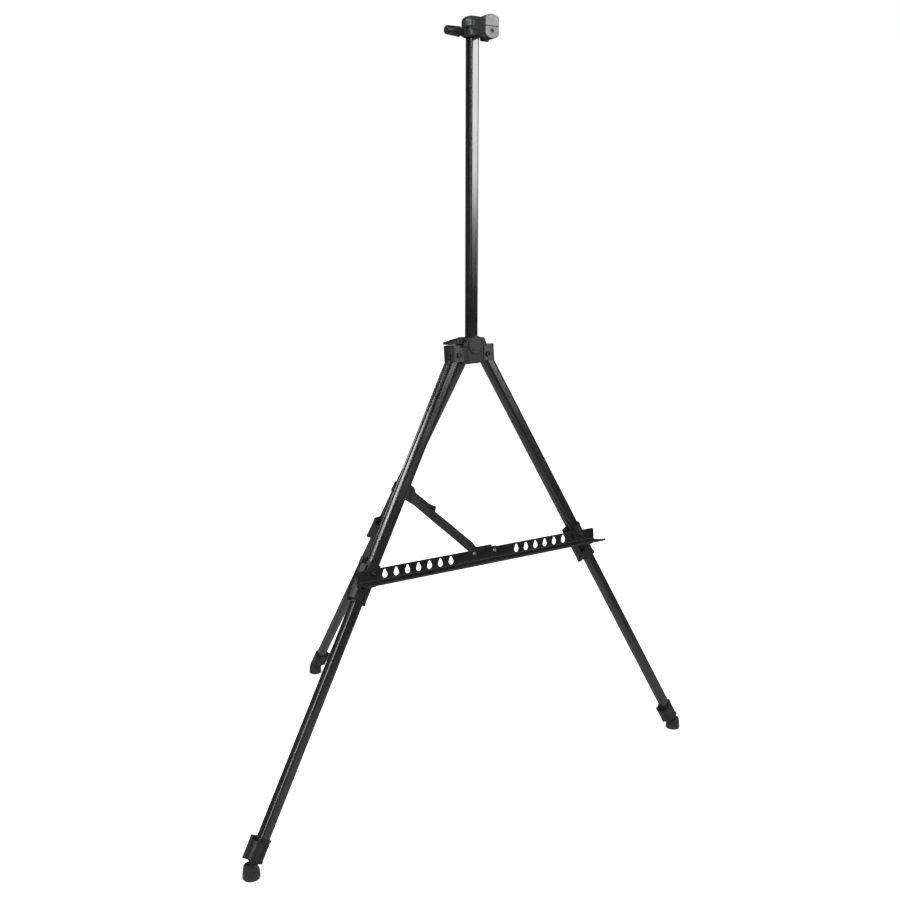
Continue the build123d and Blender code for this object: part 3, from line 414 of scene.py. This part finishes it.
TRAY_STATIONS = [
    (TRAY_X, -0.003, 0.0), (TRAY_X + 0.0002, 0.018, 0.0),
    (TRAY_X + 0.0008, 0.036, 0.0), (SPLIT_X, SPLIT, 0.0),
]
OUTGOING_STATIONS = [
    (SPLIT_X, SPLIT, 0.0), (SPLIT_X + 0.0010, SPLIT + 0.03, 0.0), (-0.0125, 0.115, 0.0),
    (-0.0088, JOIN - 0.02, 0.0), (-0.0074, JOIN, 0.0), (-0.0092, RUN - 0.035, 0.0),
    (-LOOP_X, RUN - 0.012, 0.0), (-LOOP_X - 0.0002, RUN - 0.002, 0.0),
]
LOOP_STATIONS = [
    (-LOOP_X + 0.0003, RUN + 0.005, 0.0), (-LOOP_X + 0.0035, LOOP_END - 0.0008, 0.0),
    (-0.004, LOOP_END + 0.0004, 0.0), (0.0, LOOP_END + 0.0005, 0.0),
    (0.004, LOOP_END + 0.0004, 0.0), (LOOP_X - 0.0035, LOOP_END - 0.0008, 0.0),
    (LOOP_X - 0.0003, RUN + 0.005, 0.0), (LOOP_X + 0.0002, RUN - 0.002, 0.0),
    (LOOP_X, RUN - 0.010, 0.0),
]
# the sewn-back end shifts across the strap and stands off at its tip
RETURN_STATIONS = [
    (0.0068, RUN - 0.030, 0.0016), (-0.0018, RUN - 0.050, 0.0026),
    (-0.0056, JOIN - 0.002, 0.0032), (-0.0070, JOIN - 0.020, 0.0035),
    (-0.0086, JOIN - 0.040, 0.0037), (-0.0078, JOIN - 0.052, 0.0040),
    (-0.0048, JOIN - 0.060, 0.0042),
]


def add_part(name, bm, material):
    mesh = bpy.data.meshes.new(name)
    bm.normal_update()
    bm.to_mesh(mesh)
    bm.free()
    part = bpy.data.objects.new(name, mesh)
    scene.collection.objects.link(part)
    mesh.materials.append(material)
    for poly in mesh.polygons:
        poly.use_smooth = len(poly.vertices) <= 4
    return part


def clamp01(value):
    return max(0.0, min(1.0, value))


def slant(t):
    """How far the webbing has turned to lie square round the leg."""
    f = clamp01((t - SLANT_START) / SLANT_LENGTH)
    return SHEAR * f * f * (3 - 2 * f)


def sag(t):
    return SAG * math.sin(math.pi * clamp01(t / RUN))


def strap_point(x, t, rise=0.0):
    return Vector((x, TRAY_END.y, TRAY_END.z)) + RUN_DIR * t + ACROSS * (rise + sag(t))


def smooth_path(points, step):
    """Catmull-Rom through the points, in steps of about the given length."""
    padded = [points[0]] + points + [points[-1]]
    path = []
    for p0, p1, p2, p3 in zip(padded, padded[1:], padded[2:], padded[3:]):
        count = max(2, int(math.hypot(p2[0] - p1[0], p2[1] - p1[1]) / step))
        for j in range(count):
            s = j / count
            path.append(tuple(
                0.5 * (2 * b + (c - a) * s + (2 * a - 5 * b + 4 * c - d) * s * s
                       + (3 * b - a - 3 * c + d) * s ** 3)
                for a, b, c, d in zip(p0, p1, p2, p3)))
    path.append(points[-1])
    return path


def strap_profile():
    """Closed section as (depth, across) pairs, thinner at the selvedges."""
    half, edge = STRAP_THICK / 2, STRAP_WIDTH / 2
    across = [-edge, -edge + SELVEDGE * 0.35, -edge + SELVEDGE, -edge * 0.5, 0.0,
              edge * 0.5, edge - SELVEDGE, edge - SELVEDGE * 0.35, edge]
    depth = [half * k for k in (0.25, 0.75, 1.0, 0.96, 0.92, 0.96, 1.0, 0.75, 0.25)]
    side = list(zip(depth, across))
    return [(-d, a) for d, a in side] + side[::-1]


def strap_strip(name, path, start_length=0.0, narrow_start=False):
    """Webbing on edge along the path; its UV map holds millimetres."""
    bm = bmesh.new()
    uv = bm.loops.layers.uv.new("mm")
    profile = strap_profile()
    last = len(path) - 1
    rings, lengths = [], [start_length]
    for i, (x, t, rise) in enumerate(path):
        before, after = path[max(i - 1, 0)], path[min(i + 1, last)]
        dx, dt = after[0] - before[0], after[1] - before[1]
        chord = math.hypot(dx, dt)
        if i:
            lengths.append(lengths[-1] + math.hypot(x - path[i - 1][0], t - path[i - 1][1]))
        # a narrow start widens from 0.74 to full width over a sixth of the path
        width = 0.74 + 0.26 * min(1.0, i / last * 6.0) if narrow_start else 1.0
        ring = []
        for depth, across in profile:
            along = t - dx / chord * depth
            off = across * width + rise + sag(t)
            start = Vector((x + dt / chord * depth, TRAY_END.y, TRAY_END.z))
            ring.append(bm.verts.new(
                start + RUN_DIR * (along + off * slant(along)) + ACROSS * off))
        rings.append(ring)
    for i in range(last):
        for j in range(len(profile)):
            k = (j + 1) % len(profile)
            corners = ((i, j), (i + 1, j), (i + 1, k), (i, k))
            face = bm.faces.new([rings[row][column] for row, column in corners])
            for loop, (row, column) in zip(face.loops, corners):
                loop[uv].uv = (lengths[row] * 1000, profile[column][1] * 1000)
    for ring, row in ((rings[0], 0), (rings[-1][::-1], last)):
        for loop in bm.faces.new(ring).loops:
            loop[uv].uv = (lengths[row] * 1000, 0.0)
    return add_part(name, bm, MAT["webbing"])


def close_ends(bm, rings):
    bm.faces.new(rings[0][::-1])
    bm.faces.new(rings[-1])


def outgoing_x(t):
    """x of the outgoing webbing, straight between its stations."""
    stations = sorted((station[1], station[0]) for station in OUTGOING_STATIONS)
    for (ta, xa), (tb, xb) in zip(stations, stations[1:]):
        if ta <= t <= tb:
            return xa + (xb - xa) * (t - ta) / (tb - ta)


def strap_stitching():
    """A crossed box of stitches, each a small rounded capsule on the -X face."""
    pitch, radius, lift = 0.0027, 0.00033, 0.00078
    flatness = 0.7                      # stitch thickness over its width
    start, end, half = JOIN - 0.016, JOIN + 0.006, 0.0072
    lines = [
        ((start, -half), (end, -half)), ((end, -half), (end, half)),
        ((end, half), (start, half)), ((start, half), (start, -half)),
        ((start, -half), (end, half)), ((start, half), (end, -half)),
    ]
    # (place along the stitch, share of its radius)
    capsule = ((0.0, 0.05), (0.12, 0.62), (0.32, 0.95), (0.5, 1.0),
               (0.68, 0.95), (0.88, 0.62), (1.0, 0.05))
    out = Vector((1, 0, 0))
    bm = bmesh.new()
    for (t0, w0), (t1, w1) in lines:
        count = max(1, int(math.hypot(t1 - t0, w1 - w0) / pitch))
        for i in range(count):
            ends = []
            for f in ((i + 0.14) / count, (i + 0.86) / count):
                t = t0 + (t1 - t0) * f
                point = strap_point(outgoing_x(t), t, w0 + (w1 - w0) * f)
                point.x -= lift
                ends.append(point)
            direction = ends[1] - ends[0]
            length = direction.length
            direction.normalize()
            side = direction.cross(out).normalized()
            rings = []
            for place, share in capsule:
                centre = ends[0] + direction * length * place
                rings.append([
                    bm.verts.new(centre + (side * math.cos(angle)
                                           + out * math.sin(angle) * flatness) * radius * share)
                    for angle in [j * math.pi / 3 for j in range(6)]])
            for r0, r1 in zip(rings, rings[1:]):
                for j in range(6):
                    k = (j + 1) % 6
                    bm.faces.new((r0[j], r1[j], r1[k], r0[k]))
            close_ends(bm, rings)
    bmesh.ops.recalc_face_normals(bm, faces=bm.faces)
    return add_part("strap_stitching", bm, MAT["thread"])


def strap_rivet():
    """Low dome on the -X face of the webbing, at its tray end."""
    radius, height, sides = 0.0036, 0.0004, 28
    # (share of radius, share of height)
    outline = ((0.96, -0.5), (1.0, 0.0), (1.0, 0.25), (0.93, 0.52),
               (0.76, 0.78), (0.5, 0.93), (0.2, 1.0))
    centre = strap_point(TRAY_X - STRAP_THICK / 2, 0.0065)
    axis = Vector((-1, 0, 0))
    side = axis.orthogonal().normalized()
    other_side = axis.cross(side)
    angles = [j * math.pi / (sides / 2) for j in range(sides)]
    bm = bmesh.new()
    rings = [[bm.verts.new(centre + axis * (height * up)
                           + (side * math.cos(angle) + other_side * math.sin(angle))
                           * (radius * wide))
              for angle in angles] for wide, up in outline]
    for r0, r1 in zip(rings, rings[1:]):
        for j in range(sides):
            k = (j + 1) % sides
            bm.faces.new((r0[j], r0[k], r1[k], r1[j]))
    close_ends(bm, rings)
    bmesh.ops.recalc_face_normals(bm, faces=bm.faces)
    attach(add_part("strap_rivet_head", bm, MAT["pin"]), "tray")


strap_front = strap_strip("strap_tray_end", smooth_path(TRAY_STATIONS, step=0.003),
                          narrow_start=True)
strap_main = strap_strip(
    "strap_leg_end",
    smooth_path(OUTGOING_STATIONS + LOOP_STATIONS + RETURN_STATIONS, step=0.0022),
    start_length=SPLIT)
stitching = strap_stitching()

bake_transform(strap_front)
for part in (strap_main, stitching):
    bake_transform(part)
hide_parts("strap")
strap_rivet()


# ---------------------------------------------------------------- floor, light, camera
def floor_material():
    """Pale paper that glossy surfaces see as dark, and darker still far from the feet."""
    t = Tree("pale_floor")
    rays = t.node("ShaderNodeLightPath").outputs
    pale = t.mix(t.ramp(t.noise(t.coords, scale=3.0, detail=2.0), span=(0.3, 0.7)),
                 low=(0.86, 0.86, 0.86), high=(0.88, 0.88, 0.88))
    squares = [t.math("POWER", t.math("ABSOLUTE", t.dot(t.geometry.outputs["Position"], axis)),
                      2.0) for axis in WORLD_AXES[:2]]
    reach = t.math("SQRT", t.add(*squares))
    mirrored = t.mix(t.ramp(reach, span=(0.9, 1.7), to=(1.0, 0.0)),
                     low=(0.02, 0.02, 0.02), high=(0.26, 0.26, 0.26))
    return t.finish(Base_Color=t.mix(rays["Is Glossy Ray"], low=pale, high=mirrored),
                    Roughness=0.9, Specular_IOR_Level=0.0, Emission_Color=(1.0, 1.0, 1.0),
                    Emission_Strength=t.multiply(rays["Is Camera Ray"], by=0.16))


def studio_floor(half=30):
    material = floor_material()
    mesh = bpy.data.meshes.new("studio_floor")
    corners = [(-half, -half, 0), (half, -half, 0), (half, half, 0), (-half, half, 0)]
    mesh.from_pydata(corners, [], [(0, 1, 2, 3)])
    floor = bpy.data.objects.new("studio_floor", mesh)
    scene.collection.objects.link(floor)
    mesh.materials.append(material)


def studio_world():
    """White surroundings, nearly dark to glossy rays."""
    world = scene.world or bpy.data.worlds.new("studio")
    scene.world = world
    world.use_nodes = True
    nodes, links = world.node_tree.nodes, world.node_tree.links
    nodes.clear()
    output = nodes.new("ShaderNodeOutputWorld")
    mixer = nodes.new("ShaderNodeMixShader")
    rays = nodes.new("ShaderNodeLightPath")
    links.new(rays.outputs["Is Glossy Ray"], mixer.inputs[0])
    for index, strength in ((1, 1.0), (2, 0.025)):
        background = nodes.new("ShaderNodeBackground")
        background.inputs[0].default_value = (1, 1, 1, 1)
        background.inputs[1].default_value = strength
        links.new(background.outputs[0], mixer.inputs[index])
    links.new(mixer.outputs[0], output.inputs[0])


def panel(name, centre, target, size, watts, shine=True):
    """Rectangular light aimed at the target; without shine, glossy rays miss it."""
    data = bpy.data.lights.new(name, "AREA")
    data.shape = "RECTANGLE"
    data.size, data.size_y = size
    data.energy = watts
    light = bpy.data.objects.new(name, data)
    scene.collection.objects.link(light)
    aim = (Vector(target) - Vector(centre)).to_track_quat("-Z", "Y")
    light.matrix_world = Matrix.Translation(Vector(centre)) @ aim.to_matrix().to_4x4()
    light.visible_glossy = shine


def add_camera(place, yaw, pitch, lens):
    """Camera turned from +Y towards +X by yaw; pitch is upward."""
    data = bpy.data.cameras.new("camera")
    data.lens, data.sensor_width, data.sensor_fit = lens, 36.0, "HORIZONTAL"
    data.clip_start, data.clip_end = 0.01, 200.0
    camera = bpy.data.objects.new("camera", data)
    scene.collection.objects.link(camera)
    forward = Vector((math.sin(yaw) * math.cos(pitch), math.cos(yaw) * math.cos(pitch),
                      math.sin(pitch)))
    right = Vector((math.cos(yaw), -math.sin(yaw), 0))
    turn = Matrix((right, right.cross(forward), -forward)).transposed().to_4x4()
    camera.matrix_world = Matrix.Translation(Vector(place)) @ turn
    scene.camera = camera


studio_floor()
studio_world()
panel("light_front_right", centre=(2.45, FRONT_Y - 3.4, 1.98), target=(0.0, FRONT_Y, 1.1),
      size=(1.7, 1.6), watts=100)
panel("light_top", centre=(-0.6, -0.9, 3.4), target=(0.0, 0.0, 0.6),
      size=(2.2, 2.2), watts=60, shine=False)
panel("light_high_left", centre=(-2.5, -0.2, 2.4), target=(0.0, -0.2, 0.6),
      size=(3.0, 0.35), watts=70)
panel("light_front_left", centre=(-3.2, FRONT_Y - 2.45, 1.9), target=(0.0, FRONT_Y, 0.9),
      size=(0.4, 1.8), watts=50)
add_camera(place=(-0.9486, FRONT_Y - 1.3083, 0.8397), yaw=math.radians(34.87),
           pitch=math.radians(-9.89), lens=41.144)
scene.view_settings.view_transform = "Standard"
scene.view_settings.look = "None"

bpy.context.view_layer.update()
